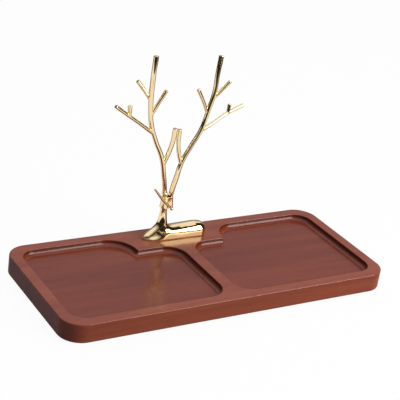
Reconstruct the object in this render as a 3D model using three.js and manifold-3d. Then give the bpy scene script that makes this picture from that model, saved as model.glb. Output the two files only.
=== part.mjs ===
// Jewelry tray: a stained wooden board with two coved wells, and a cast stand of two tied twigs.
// Millimetres. X runs along the board, Y towards its back, Z up from the table.
import * as THREE from 'three';
import { mergeVertices } from 'three/addons/utils/BufferGeometryUtils.js';
import Module from 'manifold-3d';

const wasm = await Module();
wasm.setup();

// Board
const BOARD_LENGTH = 280;
const BOARD_WIDTH = 120;
const BOARD_THICKNESS = 15;
const BOARD_CORNER_RADIUS = 17;
const BOARD_EDGE_EASE = 0.8;

// Wells either side of the divider, and the uncut land between them at the back, which lies a little left
const RIM_WIDTH = 8.8;
const DIVIDER_WIDTH = 10;
const WELL_DEPTH = 4.8;
const WELL_COVE = 4.4;
const WELL_EDGE_EASE = 0.5;
const WELL_OUTER_RADIUS = 13;
const WELL_INNER_RADIUS = 15;
const LAND_LENGTH = 79;
const LAND_OFFSET = 1.5;
const LAND_DEPTH = 31.4;
const LAND_SHOULDER_RADIUS = 22;
const LAND_CORNER_RADIUS = 1;

// Foot pads let into the underside
const FOOT_DIAMETER = 12;
const FOOT_THICKNESS = 2.2;
const FOOT_RECESS = 1;
const FOOT_CHAMFER = 0.5;
const FOOT_INSET = 17;

// Screws that hold the stand from below
const SCREW_DIAMETER = 4;
const SCREW_BITE = 6.5;
const SCREW_TIP_TAPER = 0.8;
const SCREW_SPACING = 26;
const HEAD_DIAMETER = 7.6;
const HEAD_HEIGHT = 2.8;
const HEAD_RIM = 1.2;
const RECESS_LENGTH = 4.2;
const RECESS_WIDTH = 1.1;
const RECESS_DEPTH = 1.5;
const WASHER_DIAMETER = 9;
const WASHER_THICKNESS = 0.8;
const COUNTERBORE_DEPTH = 6;

// Stand: where its trunk stands on the board, and the neck where the branches are tied
const STAND_SETBACK = 16;
const TRUNK_OFFSET = 12.7;
const TRUNK_HEIGHT = 32.4;
const TRUNK_RADIUS = 2.3;
const SPIGOT_RADIUS = 1.2;
const SPIGOT_LENGTH = 7;
const ROOT_RADIUS = 1.6;
const ROOT_SPACING = 0.5;
const BAND_HEIGHT = 9;
const BAND_RISE = 3.2;
const BAND_WALL = 0.8;
const BAND_EDGE = 0.4;
const TWIG_KNOB_RADIUS = 1.3;

// Height of the left branch's tip over the band
const CROWN_HEIGHT = 117;

// Fits between pieces
const CLEARANCE = 0.3;

// Base casting, stations of [x, y, z, radius] from the trunk's foot on the board.
// The log's flanks run straight down between the drawn limb and a lower copy of it.
const LOG_FLANK = 3;
const LOG = [
  [-12.5, 0, 2.1, 0.8], [-11.5, 0, 2.2, 2.2], [-7, 0, 2.9, 4], [0, 0, 3.9, 5.6], [9, 0, 4.1, 6.3],
  [18, -0.1, 3.8, 6.7], [27, -0.5, 3.7, 7.1], [33, -0.9, 3.4, 7], [37, -0.9, 3.2, 5.4],
  [38.8, -0.9, 3.1, 2.4],
];
const LOG_WEB = [[0.2, 0, 19, 2.7], [1.1, 0, 14.4, 3.5], [3.4, 0, 10, 4.4], [9, 0, 6, 5.2]];
const TRUNK_FLARE = [
  [-0.6, 0, 2, 6.4], [-0.4, 0, 5, 6.1], [-0.2, 0, 8, 5.6], [0, 0, 11, 4.9], [0, 0, 14, 3.85], [0, 0, 17, 3.15],
  [0, 0, 20, 2.8], [0, 0, 23, 2.62], [0, 0, 25.5, 2.55],
];
const ROOT_TOE = [
  [0, 0, 13, 3.4], [-2.9, 0, 8.9, 3.5], [-6.4, 0, 5.9, 3.7], [-9.2, 0, 3.5, 3.9], [-11.6, 0, 2, 3.7],
  [-14, 0, 1.7, 2.2], [-14.8, 0, 1.6, 0.9],
];

// Left branch, stations from the trunk's axis at the top of the band.
// Both branches stretch with the crown's height, from the height at which they are drawn here.
const LEFT_STEM = [
  [-1.5, 0, 3, 2.1], [-2, 0, 6.8, 1.8], [-4.3, 0, 18.5, 1.7], [-8.3, 0, 34, 1.75], [-15.5, 0, 48.5, 1.6],
  [-21.2, 0, 62.5, 1.7], [-23.9, 0, 78.5, 1.8], [-24.7, 0, 98.5, 1.8], [-24.6, 0, 108.5, 1.8],
  [-23.7, 0.9, 117, 1.9],
];
const LEFT_TWIGS = [
  [[-19.9, 0, 56, 1.4], [-31.8, -1.5, 64.6, 1.25], [-42.6, -3, 72.1, 1.25], [-55.4, -4, 81.2, 1.4]],
  [[-42.4, -3, 72.3, 1.2], [-43.6, -4, 80.8, 1.6]],
  [[-22.1, 0, 71, 1.3], [-18.5, -1.5, 79.8, 1.2], [-13.2, -2.5, 90.5, 1.35]],
  [[-24.4, 0, 82.5, 1.4], [-29, 1.5, 88.8, 1.3], [-35.8, 3, 97.3, 1.45]],
  [[-6.5, 0, 27.8, 1.5], [-3.2, -0.8, 37.7, 1.6], [-1.3, -1.5, 47.2, 1.6], [-0.7, -2, 58.6, 1.75]],
];

// Right branch, stations from the same point
const RIGHT_STEM = [
  [4.7, 0, 2.5, 1.9], [7.3, 0, 15.5, 1.9], [10.3, 0, 28.5, 1.7], [16.7, 0, 41.5, 1.65], [24, 0, 55.5, 1.65],
  [28.1, 0, 72, 1.65], [31, 0, 84.5, 1.7], [32.1, 1.1, 98.1, 1.7], [34.7, 3.4, 113.7, 1.85],
];
const RIGHT_TWIGS = [
  [[23.9, 0, 54.5, 1.4], [34.9, 1.2, 59.2, 1.25], [45.9, 2.6, 65.1, 1.2], [62.2, 4, 71.2, 1.3]],
  [[48.2, 2.8, 66.2, 1.2], [49.4, 4.1, 72.8, 1.35]],
  [[27.5, 0, 68, 1.3], [24, 0.9, 75.7, 1.2], [17.4, 2, 87.7, 1.35]],
  [[30.6, 0, 80.8, 1.3], [34.9, -1, 85.2, 1.2], [42, -3, 94.7, 1.3]],
  [[10, 0, 27, 1.5], [7.4, 0.8, 35.1, 1.55], [5.8, 1.5, 43.7, 1.55], [5.5, 2, 55.7, 1.75]],
];

// Binding twig across the front of the band, stations of [x, z, radius] from the same point
const BINDING = [[-13.4, 10, 0.6], [-4.2, -1.3, 0.9], [4.3, -9, 0.95]];

// Levels and places that follow from the sizes above
const FOOT_STANDOFF = FOOT_THICKNESS - FOOT_RECESS;
const BOARD_TOP = FOOT_STANDOFF + BOARD_THICKNESS;
const STAND_X = -TRUNK_OFFSET;
const STAND_Y = BOARD_WIDTH / 2 - STAND_SETBACK;
const SCREW_PLACES = { left: STAND_X, right: STAND_X + SCREW_SPACING };
const BEARING_LEVEL = FOOT_STANDOFF + COUNTERBORE_DEPTH;
const BAND_TOP = TRUNK_HEIGHT + BAND_RISE;
const ROOT_X = TRUNK_RADIUS + ROOT_SPACING + ROOT_RADIUS;
const TRUNK_BORE = TRUNK_RADIUS + CLEARANCE;
const ROOT_BORE = ROOT_RADIUS + CLEARANCE;

const WOOD = { color: 0x8a5040, roughness: 0.4, metalness: 0 };
const GOLD = { color: 0xd9b35c, roughness: 0.15, metalness: 1 };
const STEEL = { color: 0xb8b8b4, roughness: 0.35, metalness: 1 };
const RUBBER = { color: 0x2a2826, roughness: 0.85, metalness: 0 };

const ARC_STEPS = 4;
const BORE_SIDES = 20;

// A closed geometry as a body that can be cut and joined
function solid(geometry) {
  const bare = geometry.clone();
  bare.deleteAttribute('normal');
  bare.deleteAttribute('uv');
  const closed = mergeVertices(bare, 0.0001);
  const vertProperties = new Float32Array(closed.attributes.position.array);
  const triVerts = new Uint32Array(closed.index.array);
  return new wasm.Manifold(new wasm.Mesh({ numProp: 3, vertProperties, triVerts }));
}

// A finished body as a mesh of the scene
function named(name, body, finish) {
  const { vertProperties, triVerts } = body.getMesh();
  const geometry = new THREE.BufferGeometry();
  geometry.setAttribute('position', new THREE.BufferAttribute(vertProperties, 3));
  geometry.setIndex(new THREE.BufferAttribute(triVerts, 1));
  geometry.computeVertexNormals();
  const mesh = new THREE.Mesh(geometry, new THREE.MeshStandardMaterial(finish));
  mesh.name = name;
  return mesh;
}

// An upright round bar between two levels
function bar(radius, bottom, top, x, y) {
  const geometry = new THREE.CylinderGeometry(radius, radius, top - bottom, BORE_SIDES);
  geometry.rotateX(Math.PI / 2);
  geometry.translate(x, y, (bottom + top) / 2);
  return solid(geometry);
}

// A turned piece from a profile of radius and height
function turned(profile) {
  const geometry = new THREE.LatheGeometry(profile, BORE_SIDES);
  geometry.rotateX(Math.PI / 2);
  return geometry;
}

// A round limb swept through its stations, with flat cut ends
function limb(stations, sides, stepsPerSpan) {
  const route = new THREE.CatmullRomCurve3(stations.map(([x, y, z]) => new THREE.Vector3(x, y, z)));
  const girth = new THREE.SplineCurve(stations.map(([, , , radius], i) => new THREE.Vector2(i, radius)));
  const steps = stepsPerSpan * (stations.length - 1);
  const points = [];
  const faces = [];
  for (let i = 0; i <= steps; i += 1) {
    const centre = route.getPoint(i / steps);
    const along = route.getTangent(i / steps);
    const side = new THREE.Vector3(0, 1, 0).projectOnPlane(along).normalize();
    const up = new THREE.Vector3().crossVectors(along, side);
    const radius = girth.getPoint(i / steps).y;
    for (let j = 0; j < sides; j += 1) {
      const turn = (2 * Math.PI * j) / sides;
      const rim = centre.clone();
      rim.addScaledVector(side, radius * Math.cos(turn));
      rim.addScaledVector(up, radius * Math.sin(turn));
      points.push(rim);
    }
  }
  const first = points.push(route.getPoint(0)) - 1;
  const last = points.push(route.getPoint(1)) - 1;
  for (let j = 0; j < sides; j += 1) {
    const k = (j + 1) % sides;
    for (let i = 0; i < steps; i += 1) {
      const here = i * sides;
      const next = here + sides;
      faces.push(here + j, here + k, next + k, here + j, next + k, next + j);
    }
    faces.push(first, k, j, last, steps * sides + j, steps * sides + k);
  }
  const geometry = new THREE.BufferGeometry().setFromPoints(points);
  geometry.setIndex(faces);
  return solid(geometry);
}

function boardShape() {
  const radius = BOARD_CORNER_RADIUS;
  const x = BOARD_LENGTH / 2 - radius;
  const y = BOARD_WIDTH / 2 - radius;
  const shape = new THREE.Shape();
  shape.absarc(x, y, radius, 0, Math.PI / 2);
  shape.absarc(-x, y, radius, Math.PI / 2, Math.PI);
  shape.absarc(-x, -y, radius, Math.PI, 1.5 * Math.PI);
  shape.absarc(x, -y, radius, 1.5 * Math.PI, 2 * Math.PI);
  return shape;
}

// Outline of one well, stepped round the land, drawn as if on the right
function wellShape(side) {
  const inner = DIVIDER_WIDTH / 2;
  const outer = BOARD_LENGTH / 2 - RIM_WIDTH;
  const front = RIM_WIDTH - BOARD_WIDTH / 2;
  const back = BOARD_WIDTH / 2 - RIM_WIDTH;
  const landSide = LAND_LENGTH / 2 - side * LAND_OFFSET;
  const landFront = BOARD_WIDTH / 2 - LAND_DEPTH;
  const wide = WELL_OUTER_RADIUS;
  const near = WELL_INNER_RADIUS;
  const corner = LAND_CORNER_RADIUS;
  const shoulder = Math.min(LAND_SHOULDER_RADIUS, back - landFront - 1.5 * corner);
  const shape = new THREE.Shape();
  shape.absarc(outer - wide, front + wide, wide, -Math.PI / 2, 0);
  shape.absarc(outer - wide, back - wide, wide, 0, Math.PI / 2);
  shape.absarc(landSide + shoulder, back - shoulder, shoulder, Math.PI / 2, Math.PI);
  shape.absarc(landSide - corner, landFront + corner, corner, 0, -Math.PI / 2, true);
  shape.absarc(inner + near, landFront - near, near, Math.PI / 2, Math.PI);
  shape.absarc(inner + near, front + near, near, Math.PI, 1.5 * Math.PI);
  return shape;
}

// The cut of one well: coved at the floor, eased at the rim
function wellCut(side) {
  const outline = wellShape(side).getPoints(ARC_STEPS);
  const shape = new THREE.Shape(outline.map(({ x, y }) => new THREE.Vector2(side * x, y)));
  const cove = Math.min(WELL_COVE, WELL_DEPTH);
  const pocket = new THREE.ExtrudeGeometry(shape, {
    depth: WELL_DEPTH, bevelThickness: cove, bevelSize: cove, bevelOffset: -cove, bevelSegments: 5,
  });
  pocket.translate(0, 0, BOARD_TOP - WELL_DEPTH + cove);
  const ease = new THREE.ExtrudeGeometry(shape, {
    depth: WELL_DEPTH, bevelThickness: WELL_EDGE_EASE, bevelSize: WELL_EDGE_EASE, bevelSegments: 1,
  });
  ease.translate(0, 0, BOARD_TOP);
  return solid(pocket).add(solid(ease));
}

function footPlaces() {
  const x = BOARD_LENGTH / 2 - FOOT_INSET;
  const y = BOARD_WIDTH / 2 - FOOT_INSET;
  return { front_left: [-x, -y], front_right: [x, -y], back_left: [-x, y], back_right: [x, y] };
}

function trayBoard() {
  const slab = new THREE.ExtrudeGeometry(boardShape(), {
    depth: BOARD_THICKNESS - 2 * BOARD_EDGE_EASE, curveSegments: ARC_STEPS, bevelSegments: 2,
    bevelThickness: BOARD_EDGE_EASE, bevelSize: BOARD_EDGE_EASE, bevelOffset: -BOARD_EDGE_EASE,
  });
  slab.translate(0, 0, FOOT_STANDOFF + BOARD_EDGE_EASE);
  let body = solid(slab).subtract(wellCut(1)).subtract(wellCut(-1));
  for (const [x, y] of Object.values(footPlaces())) {
    body = body.subtract(bar(FOOT_DIAMETER / 2 + CLEARANCE, 0, FOOT_THICKNESS, x, y));
  }
  for (const x of Object.values(SCREW_PLACES)) {
    body = body.subtract(bar(WASHER_DIAMETER / 2 + CLEARANCE, 0, BEARING_LEVEL, x, STAND_Y));
    body = body.subtract(bar(SCREW_DIAMETER / 2 + CLEARANCE, 0, BOARD_TOP + CLEARANCE, x, STAND_Y));
  }
  return named('tray_board', body, WOOD);
}

function footPad(name, x, y) {
  const radius = FOOT_DIAMETER / 2;
  const profile = [
    new THREE.Vector2(0, 0),
    new THREE.Vector2(radius - FOOT_CHAMFER, 0),
    new THREE.Vector2(radius, FOOT_CHAMFER),
    new THREE.Vector2(radius, FOOT_THICKNESS),
    new THREE.Vector2(0, FOOT_THICKNESS),
  ];
  const mesh = named(`foot_${name}`, solid(turned(profile)), RUBBER);
  mesh.position.set(x, y, 0);
  return mesh;
}

function baseWasher(name, x) {
  const disc = bar(WASHER_DIAMETER / 2, 0, WASHER_THICKNESS, 0, 0);
  const hole = bar(SCREW_DIAMETER / 2 + CLEARANCE, -CLEARANCE, WASHER_THICKNESS + CLEARANCE, 0, 0);
  const mesh = named(`base_washer_${name}`, disc.subtract(hole), STEEL);
  mesh.position.set(x, STAND_Y, BEARING_LEVEL - WASHER_THICKNESS);
  return mesh;
}

// Pan-head screw pointing up, its head bearing on the washer from below
function baseScrew(name, x) {
  const head = HEAD_DIAMETER / 2;
  const shank = SCREW_DIAMETER / 2;
  const bearing = BEARING_LEVEL - WASHER_THICKNESS;
  const tip = BOARD_TOP - bearing + SCREW_BITE;
  const outline = new THREE.Path();
  outline.moveTo(0, -HEAD_HEIGHT);
  outline.lineTo(RECESS_LENGTH / 2, -HEAD_HEIGHT);
  outline.quadraticCurveTo(head, -HEAD_HEIGHT, head, -HEAD_RIM);
  outline.lineTo(head, 0);
  outline.lineTo(shank, 0);
  outline.lineTo(shank, tip - SCREW_TIP_TAPER);
  outline.lineTo(shank - SCREW_TIP_TAPER, tip);
  outline.lineTo(0, tip);
  const blade = new THREE.BoxGeometry(RECESS_LENGTH, RECESS_WIDTH, 2 * RECESS_DEPTH);
  blade.translate(0, 0, -HEAD_HEIGHT);
  const crossBlade = blade.clone().rotateZ(Math.PI / 2);
  const body = solid(turned(outline.getPoints(4))).subtract(solid(blade)).subtract(solid(crossBlade));
  const mesh = named(`base_screw_${name}`, body, STEEL);
  mesh.position.set(x, STAND_Y, bearing);
  return mesh;
}

// Log, root toe and trunk in one casting, flat below, tapped for the screws, socketed on top
function standBase() {
  const bandBottom = BAND_TOP - BAND_HEIGHT;
  const trunk = [...TRUNK_FLARE, [0, 0, bandBottom, TRUNK_RADIUS], [0, 0, TRUNK_HEIGHT, TRUNK_RADIUS]];
  const under = new THREE.BoxGeometry(BOARD_LENGTH, BOARD_WIDTH, BOARD_THICKNESS);
  under.translate(0, 0, -BOARD_THICKNESS / 2);
  const lowLog = LOG.map(([x, y, z, radius]) => [x, y, z - LOG_FLANK, radius]);
  let body = limb(LOG, 18, 2).add(limb(lowLog, 18, 2)).add(limb(LOG_WEB, 14, 2));
  body = body.add(limb(trunk, 16, 2)).add(limb(ROOT_TOE, 14, 2)).subtract(solid(under));
  for (const x of [0, SCREW_SPACING]) {
    body = body.subtract(bar(SCREW_DIAMETER / 2 + CLEARANCE, -CLEARANCE, SCREW_BITE + CLEARANCE, x, 0));
  }
  const socketFloor = TRUNK_HEIGHT - SPIGOT_LENGTH - CLEARANCE;
  body = body.subtract(bar(SPIGOT_RADIUS + CLEARANCE, socketFloor, TRUNK_HEIGHT + CLEARANCE, 0, 0));
  return named('stand_base', body, GOLD);
}

// A branch's stations, stretched to the crown's height
function risen(stations) {
  const drawnHeight = LEFT_STEM[LEFT_STEM.length - 1][2];
  return stations.map(([x, y, z, radius]) => [x, y, (z * CROWN_HEIGHT) / drawnHeight, radius]);
}

function branch(name, root, stem, twigs, extra) {
  let body = limb([...root, ...risen(stem)], 12, 2);
  for (const twig of twigs) {
    body = body.add(limb(risen(twig), 10, 2));
  }
  for (const piece of extra) {
    body = body.add(piece);
  }
  return named(name, body, GOLD);
}

function leftBranch() {
  const foot = CLEARANCE - BAND_RISE;
  const root = [[0, 0, foot, TRUNK_RADIUS], [0, 0, 0, TRUNK_RADIUS]];
  const spigot = bar(SPIGOT_RADIUS, -BAND_RISE - SPIGOT_LENGTH, foot + CLEARANCE, 0, 0);
  return branch('left_branch', root, LEFT_STEM, LEFT_TWIGS, [spigot]);
}

function rightBranch() {
  const root = [[ROOT_X, 0, -BAND_HEIGHT, ROOT_RADIUS], [ROOT_X, 0, -BAND_RISE, ROOT_RADIUS]];
  return branch('right_branch', root, RIGHT_STEM, RIGHT_TWIGS, []);
}

// Pear-shaped collar with one bore for the trunk and one for the right branch's root
function bindingBand() {
  const wide = TRUNK_BORE + BAND_WALL;
  const narrow = ROOT_BORE + BAND_WALL;
  const tangent = Math.acos((wide - narrow) / ROOT_X);
  const shape = new THREE.Shape();
  shape.absarc(0, 0, wide, tangent, 2 * Math.PI - tangent);
  shape.absarc(ROOT_X, 0, narrow, -tangent, tangent);
  const collar = new THREE.ExtrudeGeometry(shape, {
    depth: BAND_HEIGHT - 2 * BAND_EDGE, curveSegments: 12, bevelSegments: 2,
    bevelThickness: BAND_EDGE, bevelSize: BAND_EDGE, bevelOffset: -BAND_EDGE,
  });
  collar.translate(0, 0, BAND_EDGE - BAND_HEIGHT);
  let body = solid(collar);
  body = body.subtract(bar(TRUNK_BORE, -BAND_HEIGHT - CLEARANCE, CLEARANCE, 0, 0));
  body = body.subtract(bar(ROOT_BORE, -BAND_HEIGHT - CLEARANCE, CLEARANCE, ROOT_X, 0));
  return named('binding_band', body, GOLD);
}

// Thin tapered twig with a knob at its low end
function bindingTwig() {
  const thickest = Math.max(...BINDING.map(([, , radius]) => radius));
  const front = -(TRUNK_BORE + BAND_WALL + CLEARANCE + thickest);
  const stations = BINDING.map(([x, z, radius]) => [x, front, z, radius]);
  const [x, y, z] = stations[stations.length - 1];
  const knob = new THREE.SphereGeometry(TWIG_KNOB_RADIUS, 12, 8);
  knob.translate(x, y, z);
  return named('binding_twig', limb(stations, 10, 3).add(solid(knob)), GOLD);
}

const tray = new THREE.Group();
tray.name = 'jewelry_tray';
tray.add(trayBoard());
for (const [name, [x, y]] of Object.entries(footPlaces())) {
  tray.add(footPad(name, x, y));
}
for (const [name, x] of Object.entries(SCREW_PLACES)) {
  tray.add(baseWasher(name, x), baseScrew(name, x));
}

const stand = new THREE.Group();
stand.name = 'stand';
stand.position.set(STAND_X, STAND_Y, BOARD_TOP);
stand.add(standBase());
tray.add(stand);

const crown = new THREE.Group();
crown.name = 'crown';
crown.position.z = BAND_TOP;
crown.add(leftBranch(), rightBranch(), bindingBand(), bindingTwig());
stand.add(crown);

export default tray;
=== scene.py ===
"""Jewelry tray: a stained board with two coved wells and a gilt twig stand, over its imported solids."""

import math

import bmesh
import bpy
import numpy as np
from mathutils import Matrix, Vector


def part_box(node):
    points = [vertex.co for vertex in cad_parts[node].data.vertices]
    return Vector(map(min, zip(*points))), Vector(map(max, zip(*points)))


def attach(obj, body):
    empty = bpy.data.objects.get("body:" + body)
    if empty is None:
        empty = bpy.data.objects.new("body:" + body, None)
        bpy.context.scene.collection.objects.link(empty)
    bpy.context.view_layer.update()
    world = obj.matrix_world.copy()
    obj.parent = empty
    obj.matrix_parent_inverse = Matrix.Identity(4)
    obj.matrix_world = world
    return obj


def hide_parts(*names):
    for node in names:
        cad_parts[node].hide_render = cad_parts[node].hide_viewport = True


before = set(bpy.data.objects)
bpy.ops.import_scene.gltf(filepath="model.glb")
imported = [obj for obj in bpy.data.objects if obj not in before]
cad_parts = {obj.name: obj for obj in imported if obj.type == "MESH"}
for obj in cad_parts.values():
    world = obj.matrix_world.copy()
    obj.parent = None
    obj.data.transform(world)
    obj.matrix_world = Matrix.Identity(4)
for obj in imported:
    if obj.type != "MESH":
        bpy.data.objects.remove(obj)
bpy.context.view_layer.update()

bl_info = {
    "name": "Jewelry Tray",
    "version": (1, 0, 0),
    "blender": (4, 5, 0),
    "location": "View3D > Sidebar > Tray",
    "description": "Models a wooden jewelry tray with a gilt twig stand",
    "category": "Object",
}

MM = 0.001
BODY = "root"
CORNERS = ("front_left", "front_right", "back_left", "back_right")
# Sides of the round pieces, the bores and the band's two ends
ROUND_SIDES = 64
BORE_SIDES = 48
BAND_SIDES = 56

BOARD_LOW, BOARD_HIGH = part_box("tray_board")
BAND_LOW, BAND_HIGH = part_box("binding_band")
LEFT_SCREW = sum(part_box("base_screw_left"), Vector()) / 2
TRUNK_FOOT = Vector((LEFT_SCREW.x, LEFT_SCREW.y, BOARD_HIGH.z))
BAND_TOP = Vector((LEFT_SCREW.x, LEFT_SCREW.y, BAND_HIGH.z))

# The base's rough limbs, stations of (x, y, z, radius) in millimetres from the trunk's foot on the board
LOG = (
    (-12.5, -0.4, 1.4, 1.6), (-11, -0.5, 1.2, 3.6), (-7, -0.5, 1, 5.6), (0, -0.5, 2.6, 6.6),
    (9, -0.4, 3.5, 7), (18, -0.3, 3.6, 7.2), (27, -0.5, 3.7, 7.15), (33, -0.9, 3.4, 7.1),
    (37, -0.9, 3.2, 5.6), (38.8, -0.9, 3.1, 2.6),
)
# The log's flanks run down through lower copies of it, at these shares of its radius
LOG_LAYERS = (0, -0.25, -0.5, -0.75, -1, -1.4)
TRUNK = (
    (-0.5, 0, 2, 6.3), (-0.5, -0.6, 8, 5.3), (-0.5, -0.9, 14, 3.75), (-0.3, -0.4, 20, 2.85),
    (0, 0, 26, 2.6), (0, 0, 32.4, 2.4),
)
ROOT = ((0, 0, 13, 3.5), (-6.4, 0, 5.9, 3.8), (-11.2, 0, 1, 3.9), (-12.6, 0, -2, 3.7), (-12.8, 0, -5, 3.5))

# The base's finished form: the flare by height (z, x, y, radius)
FLARE = (
    (-2, -0.5, -0.4, 5.6), (3, -0.5, -0.4, 5.6), (5.5, -0.5, -0.45, 5.6), (8, -0.5, -0.7, 5.15),
    (11, -0.5, -0.85, 4.37), (14, -0.5, -0.8, 3.72), (17, -0.35, -0.5, 3.36), (19.5, -0.22, -0.32, 3.07),
    (22.5, -0.12, -0.18, 2.76), (25.5, 0, 0, 2.65), (29, 0, 0, 2.6),
)
# The log along its length (x, y, height of its top, radius of its top, half-width of its flanks)
LOG_FORM = (
    (-9, -0.5, 2.8, 8.3, 5.6), (-4.5, -0.6, 4.8, 8.3, 6.3), (0, -0.5, 7.6, 8.5, 6.7),
    (4, -0.4, 9.8, 8.6, 6.9), (8, -0.4, 10, 8.6, 7), (14.6, -0.2, 10.2, 8, 7.4), (21.5, -0.3, 10.5, 7.5, 7.5),
    (29.4, -0.7, 11, 7.1, 8.6), (33, -0.9, 10.6, 7.1, 8.6),
)
LOG_ENDS = (-8, 32.6)
LOG_SHOULDER = 1.1
# The root along its length (x, z, radius), how its sides spread to the board and to what depth, and its steps
ROOT_FORM = (
    (-14.9, 1.6, 0.9), (-14, 1.7, 2), (-11.6, 2, 3.4), (-9.2, 3.5, 3.6), (-6.4, 5.9, 3.4), (-2.9, 8.9, 3),
    (0, 13, 2.6),
)
ROOT_SPREAD = 0.36
ROOT_SPREAD_DEPTH = 5.5
ROOT_STEPS = 60
# Fillets: between flare and root, and between those and the log, by height
ROOT_FILLET = 4.5
LOG_FILLET = ((4, 3), (10, 6))
# How far the lower edge turns in where it meets the board, and over what height
FOOT_TUCK = 0.55
FOOT_TUCK_HEIGHT = 1.0
# Millimetres over which a run of stations is eased, the root's shorter, and the step of the easing
EASE_SPAN = 3.0
ROOT_EASE_SPAN = 1.0
EASE_STEP = 0.1
# A distance outside every form, to start from
FAR_AWAY = 100.0

# Pressing the rough base onto its form: rounds before and after a smoothing, and that smoothing's passes
PRESS_ROUNDS = (5, 3)
PRESS_SMOOTHING = 3
# Heights over which the pressing sets in and fades out, with its share at each
PRESS_HEIGHTS = (-1.5, -0.5, 25, 27)
PRESS_SHARES = (0, 1, 1, 0)
# Half the span that a slope is read over, the longest step, and the least square of a slope
PROBE = 0.05
LONGEST_STEP = 1
LEAST_SLOPE = 0.25
# How near the board's top a vertex of the base counts as on it, in millimetres
CUT_REACH = 0.001

# Grain of a rough casting in millimetres, and its passes of smoothing
BASE_CAST = (0.35, 8)
BRANCH_CAST = (0.22, 20)
TWIG_CAST = (0.15, 12)

# Limbs of the branches, stations from the trunk's axis at the top of the band
LEFT_LIMBS = (
    (
        (0, 0, -2.9, 2.3), (-0.3, 0, 0, 2.2), (-1.5, 0, 3, 2.1), (-2, 0, 6.8, 1.85), (-4.3, 0, 18.5, 1.75),
        (-8.3, 0, 34, 1.8), (-15.5, 0, 48.5, 1.65), (-21.2, 0, 62.5, 1.75), (-23.9, 0, 78.5, 1.85),
        (-24.7, 0, 98.5, 1.85), (-24.6, 0, 108.5, 1.85), (-23.7, 0.9, 117, 1.95),
    ),
    ((-19.9, 0, 56, 1.45), (-31.8, -1.5, 64.6, 1.3), (-42.6, -3, 72.1, 1.3), (-55.4, -4, 81.2, 1.45)),
    ((-42.4, -3, 72.3, 1.25), (-43.6, -4, 80.8, 1.65)),
    ((-22.1, 0, 71, 1.35), (-18.5, -1.5, 79.8, 1.25), (-13.2, -2.5, 90.5, 1.4)),
    ((-24.4, 0, 82.5, 1.45), (-29, 1.5, 88.8, 1.35), (-35.8, 3, 97.3, 1.5)),
    ((-6.5, 0, 27.8, 1.55), (-3.2, -0.8, 37.7, 1.65), (-1.3, -1.5, 47.2, 1.65), (-0.7, -2, 58.6, 1.8)),
)
RIGHT_LIMBS = (
    (
        (4.4, 0, -9, 1.6), (4.4, 0, -3.2, 1.6), (4.7, 0, 2.5, 1.95), (7.3, 0, 15.5, 1.95),
        (10.3, 0, 28.5, 1.75), (16.7, 0, 41.5, 1.7), (24, 0, 55.5, 1.7), (28.1, 0, 72, 1.7),
        (31, 0, 84.5, 1.75), (32.1, 1.1, 98.1, 1.75), (34.7, 3.4, 113.7, 1.9),
    ),
    ((23.9, 0, 54.5, 1.45), (34.9, 1.2, 59.2, 1.3), (45.9, 2.6, 65.1, 1.25), (62.2, 4, 71.2, 1.35)),
    ((48.2, 2.8, 66.2, 1.25), (49.4, 4.1, 72.8, 1.4)),
    ((27.5, 0, 68, 1.35), (24, 0.9, 75.7, 1.25), (17.4, 2, 87.7, 1.4)),
    ((30.6, 0, 80.8, 1.35), (34.9, -1, 85.2, 1.25), (42, -3, 94.7, 1.35)),
    ((10, 0, 27, 1.55), (7.4, 0.8, 35.1, 1.6), (5.8, 1.5, 43.7, 1.6), (5.5, 2, 55.7, 1.8)),
)
BINDING_TWIG = (
    (-13.4, -4.65, 10, 0.85), (-9, -4.65, 4.4, 1), (-4.2, -4.65, -1.3, 1.05), (4.3, -4.65, -9, 1),
)
# What the smoothing takes off a branch's radius
BRANCH_SWELL = 0.12
# Flange round the left branch's root: (x, y, z), its radius, its thickness and its lean in degrees
ROOT_FLANGE = ((-1.3, 0, 2.9), 1.95, 0.65, -10)

# Streaks of the wood: their scale along x, y and z, and their detail
BANDS = ((5.0, 60.0, 120.0), 4.0)
FIBRES = ((45.0, 1300.0, 1300.0), 2.0)
PORES = ((170.0, 2300.0, 2300.0), 1.0)
# Weights of bands and fibres in the wood's tone and in its relief, and the pores' weights in both
BAND_TONE = 0.7
FIBRE_TONE = 0.3
FIBRE_RELIEF = 0.4
PORE_TONE = 0.3
PORE_RELIEF = 0.6
# Spans of noise: most of any, the wood's tones from dark to light, and the pores
NOISE_SPAN = (0.3, 0.7)
TONE_SPAN = (0.38, 0.62)
PORE_SPAN = (0.62, 0.72)
# Weight of the lacquer on the board's top and on its outer sides
LACQUER = (0.8, 0.22)
# Depths under the board's top, in millimetres, over which the wells' stain, the painted shade on their walls
# and the sides fade
STAIN_DEPTHS = (4, 0.5)
WALL_TOP = (0.9, 0.4)
WALL_FOOT = (3.4, 2.2)
SIDE_TOP = (0.75, 0.5)

# What the castings mirror of the room, and white for the camera
ROOM_DARK = (0.024, 0.015, 0.007, 1.0)
ROOM_PALE = (0.98, 1.0, 1.14, 1.0)
WHITE = (1.0, 1.0, 1.0, 1.0)
# Zones of the room in degrees: azimuth from and to, the elevation each reaches up to, and its soft edge
SOFTBOX_SURROUND = (14, 110, 62, 1)
SKIRTING = (-150, 16, 9, 2)
BACK_CORNER = (-190, -122, 40, 4)
CAMERA_SIDE = (-150, 110, 58, 2)
BACK_CORNER_DARK = 0.6
# Elevations over which the pale room brightens, and its levels there
PALE_ELEVATIONS = (22, 45)
PALE_LEVELS = (0.33, 1.0)
# Millimetres over which the mirrored floor darkens: at its front edge, and past the stand from the camera
FLOOR_FRONT = (-400, -360)
FLOOR_BEHIND = (-150, -30)
# Greys of the light that the floor sends up, to the right and to the left, and the millimetres between
FLOOR_BOUNCE = (0.34, 0.26)
FLOOR_BOUNCE_SPAN = (20, 140)
# Grey of the floor where it is seen, and the share of its look that is plain white
FLOOR_GREY = 0.95
FLOOR_GLOW = 0.95


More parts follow.
